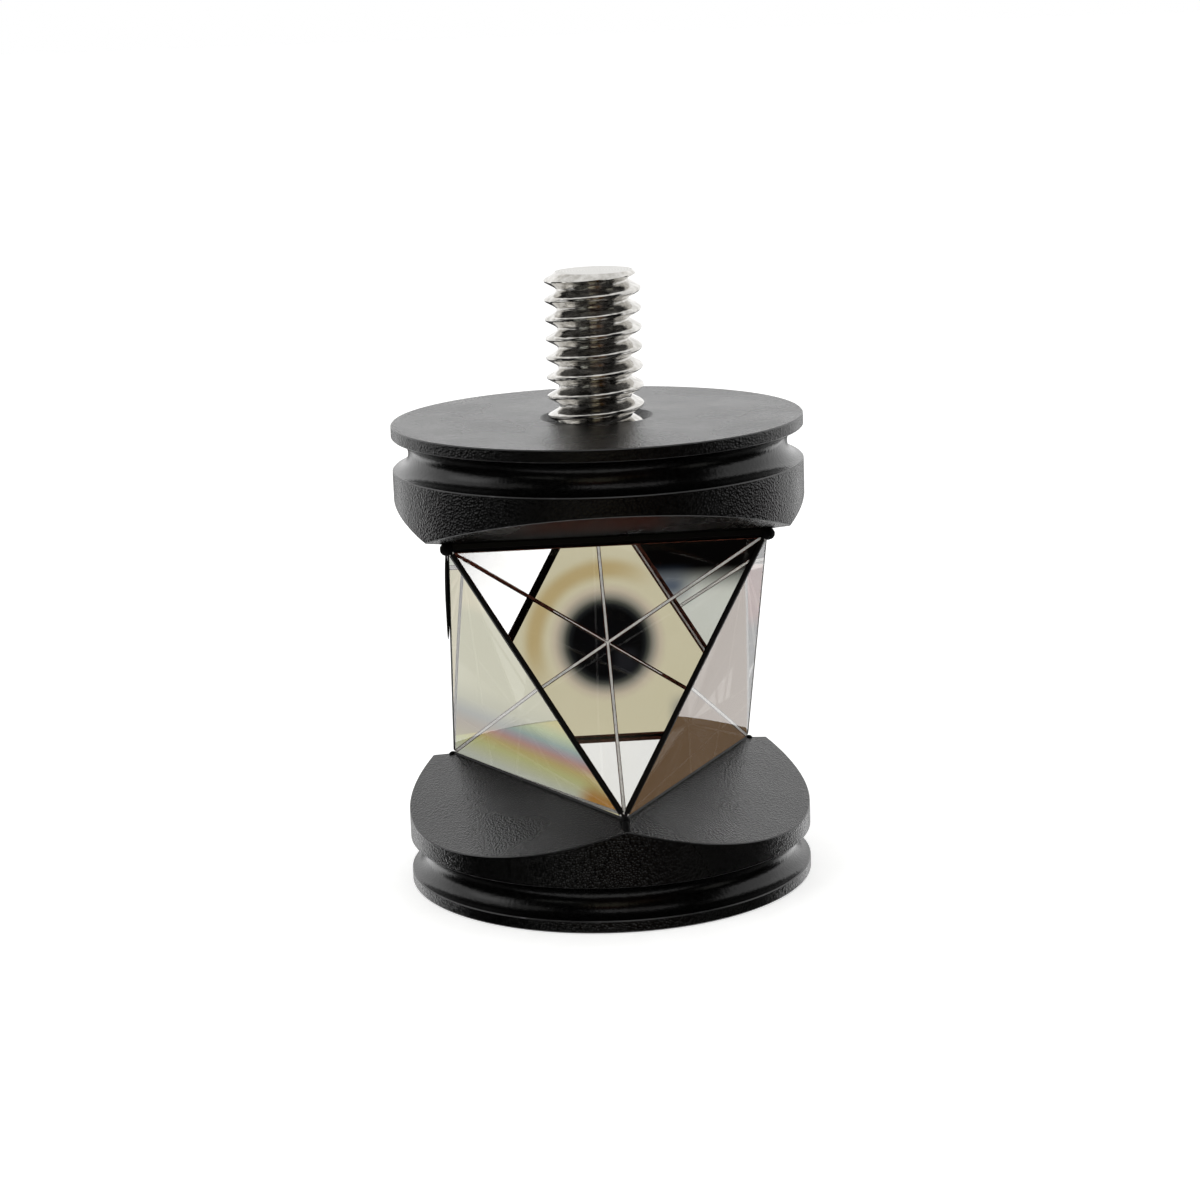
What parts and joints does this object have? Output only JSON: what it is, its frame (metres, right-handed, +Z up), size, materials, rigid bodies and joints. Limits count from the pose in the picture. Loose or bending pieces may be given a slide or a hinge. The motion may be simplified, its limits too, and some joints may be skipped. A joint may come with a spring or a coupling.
{
  "type": "omnidirectional surveying prism",
  "caption": "Surveying target that returns light from every side: a faceted block of glass corner cubes between two grooved black mounts, with a threaded stud on top.",
  "frame": {"origin": "centre of the lower mount's flat face", "axes": "+Z up along the axis through the stud; -Y is the side that the front prism faces; +X to its right seen from the front"},
  "size_m": [0.0272, 0.0272, 0.0408],
  "materials": {
    "black_anodised": "bead-blasted and black anodised, satin",
    "bright_steel": "bright plated rolled thread",
    "optical_glass": "polished crown glass, edges with fine ground bevels",
    "mirror_backing": "silver under copper and black protective paint",
    "black_cement": "cured black cement, semi-gloss"
  },
  "bodies": {
    "root": {"lower_mount": "black_anodised", "upper_mount": "black_anodised", "threaded_stud": "bright_steel", "prism_front": "optical_glass", "prism_left_front": "optical_glass", "prism_right_front": "optical_glass", "prism_rear": "optical_glass", "prism_left_rear": "optical_glass", "prism_right_rear": "optical_glass", "backing_front": "mirror_backing", "backing_left_front": "mirror_backing", "backing_right_front": "mirror_backing", "backing_rear": "mirror_backing", "backing_left_rear": "mirror_backing", "backing_right_rear": "mirror_backing", "seam_front_left": "black_cement", "seam_front_right": "black_cement", "seam_left": "black_cement", "seam_right": "black_cement", "seam_rear_left": "black_cement", "seam_rear_right": "black_cement", "lower_cement": "black_cement", "upper_cement": "black_cement", "lower_corner_seals": "black_cement", "upper_corner_seals": "black_cement"}
  },
  "joints": []
}
